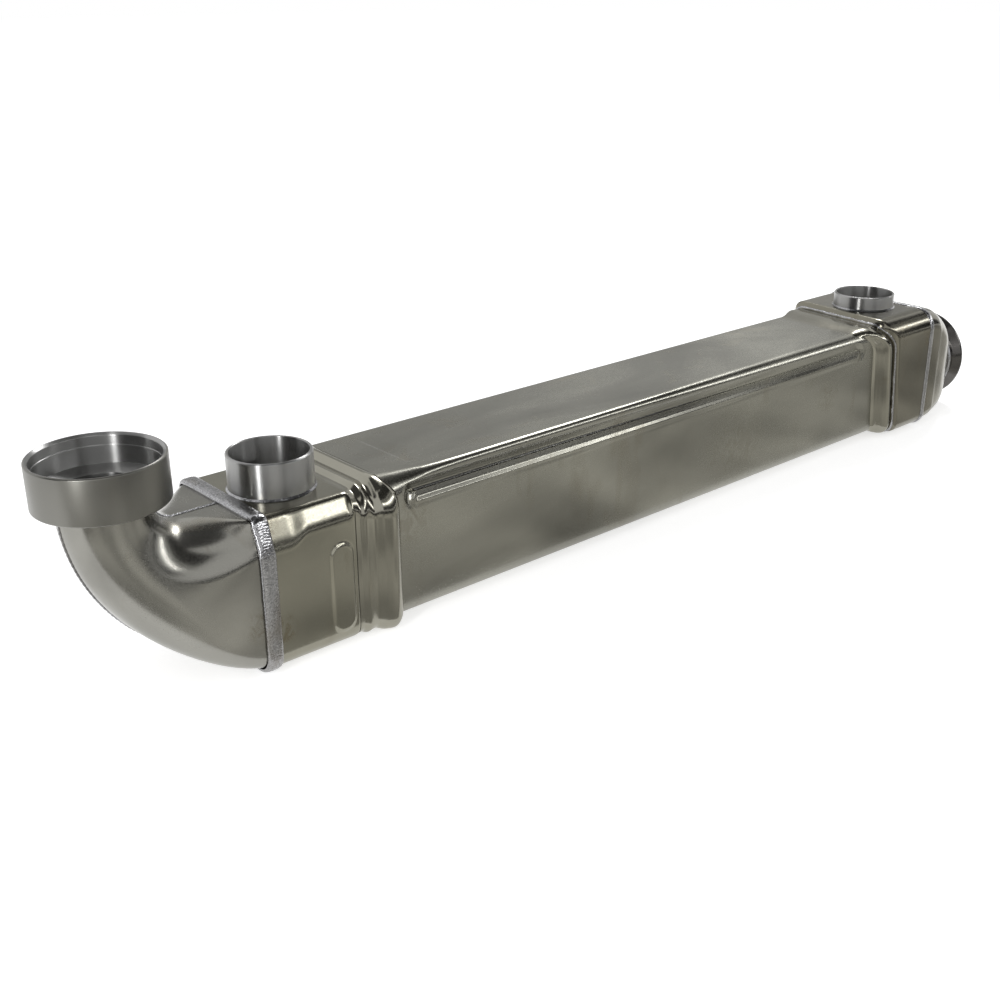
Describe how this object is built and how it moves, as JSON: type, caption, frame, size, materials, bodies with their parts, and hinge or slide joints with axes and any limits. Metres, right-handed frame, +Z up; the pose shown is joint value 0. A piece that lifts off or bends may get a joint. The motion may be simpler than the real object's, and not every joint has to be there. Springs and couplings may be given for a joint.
{
  "type": "egr cooler",
  "caption": "Box-shaped exhaust gas cooler for a heavy truck engine, with a bent gas outlet ending in a turned ring, a round clamp-flange gas inlet and coolant ports on its end tanks.",
  "frame": {"origin": "centre of the gas inlet flange's sealing face, on its axis", "axes": "+X leaves the gas inlet along the core's length, +Z is up out of the gas outlet and the coolant ports, +Y completes a right-handed frame"},
  "size_m": [0.843, 0.1072, 0.1399],
  "materials": {
    "turned_steel": "satin turned steel, polished inside",
    "elbow_steel": "satin pressed steel",
    "tank_steel": "satin pressed steel with heat tints",
    "casing_steel": "satin rolled steel",
    "weld_steel": "rippled weld metal",
    "flange_steel": "dark turned steel with a bright rim",
    "core_steel": "brazed thin sheet"
  },
  "bodies": {
    "root": {"gas_outlet_ring": "turned_steel", "outlet_tank_port": "turned_steel", "inlet_tank_port": "turned_steel", "elbow_shell_front": "elbow_steel", "elbow_shell_back": "elbow_steel", "outlet_tank": "tank_steel", "outlet_collar": "tank_steel", "inlet_collar": "tank_steel", "inlet_tank": "tank_steel", "inlet_diffuser": "tank_steel", "casing_upper_shell": "casing_steel", "casing_lower_shell": "casing_steel", "outlet_ring_weld": "weld_steel", "elbow_seam_weld": "weld_steel", "outlet_end_weld": "weld_steel", "outlet_port_weld": "weld_steel", "casing_seam_front": "weld_steel", "casing_seam_back": "weld_steel", "inlet_collar_weld": "weld_steel", "inlet_port_weld": "weld_steel", "inlet_end_weld": "weld_steel", "inlet_flange_weld": "weld_steel", "inlet_clamp_flange": "flange_steel", "outlet_tube_sheet": "core_steel", "inlet_tube_sheet": "core_steel", "gas_tube_1": "core_steel", "gas_tube_2": "core_steel", "gas_tube_3": "core_steel", "gas_tube_4": "core_steel", "gas_tube_5": "core_steel", "gas_tube_6": "core_steel", "gas_tube_7": "core_steel", "gas_tube_8": "core_steel", "gas_tube_9": "core_steel", "gas_fin_1": "core_steel", "gas_fin_2": "core_steel", "gas_fin_3": "core_steel", "gas_fin_4": "core_steel", "gas_fin_5": "core_steel", "gas_fin_6": "core_steel", "gas_fin_7": "core_steel", "gas_fin_8": "core_steel", "gas_fin_9": "core_steel", "tube_support_1": "core_steel", "tube_support_2": "core_steel", "tube_support_3": "core_steel", "tube_support_4": "core_steel", "tube_support_5": "core_steel", "tube_support_6": "core_steel"}
  },
  "joints": []
}
